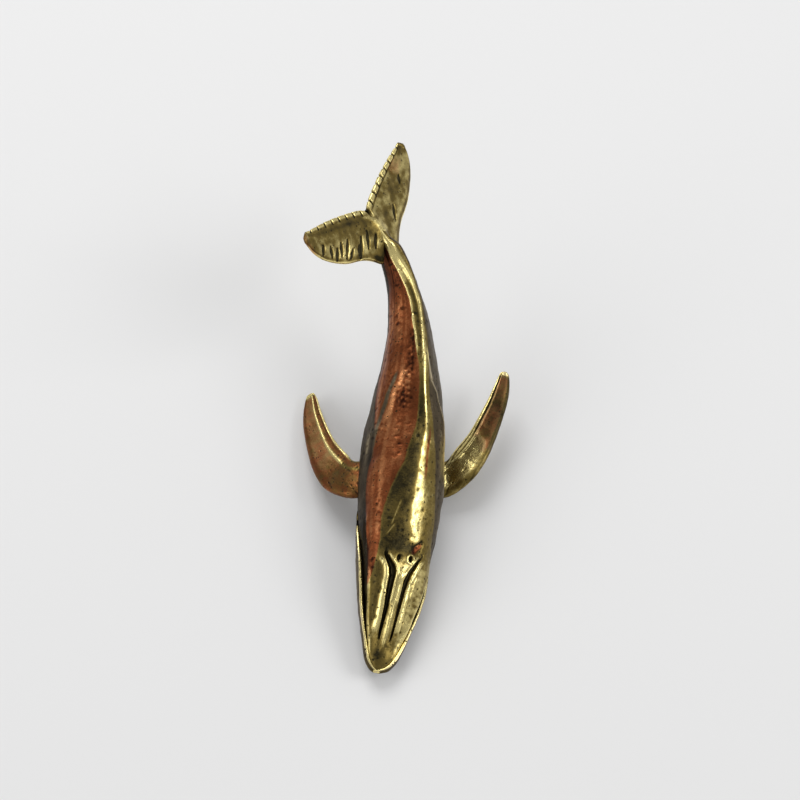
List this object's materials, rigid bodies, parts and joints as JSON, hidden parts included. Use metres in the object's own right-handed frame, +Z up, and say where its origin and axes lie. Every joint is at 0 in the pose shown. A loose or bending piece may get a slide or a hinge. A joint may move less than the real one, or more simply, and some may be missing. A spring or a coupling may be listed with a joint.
{
  "type": "whale figurine",
  "caption": "Small cast brass humpback whale lying on its throat with swept flippers and a lifted tail fluke.",
  "frame": {"origin": "middle of the flat ground under the throat, at the height of the table", "axes": "+Z up out of the back, -Y the way the nose points, +Y towards the tail, +X the whale's own left"},
  "size_m": [0.0328, 0.0796, 0.0348],
  "materials": {
    "back_brass": "aged cast brass, polished on the high spots, copper-red on the right flank",
    "throat_brass": "aged cast brass with dark pleats, bright where it is ground flat",
    "flipper_brass": "aged cast brass with a polished rim",
    "fluke_brass": "aged cast brass with a polished, notched trailing edge"
  },
  "bodies": {
    "root": {"back_casting": "back_brass", "throat_casting": "throat_brass", "right_flipper": "flipper_brass", "left_flipper": "flipper_brass", "tail_fluke": "fluke_brass"}
  },
  "joints": []
}
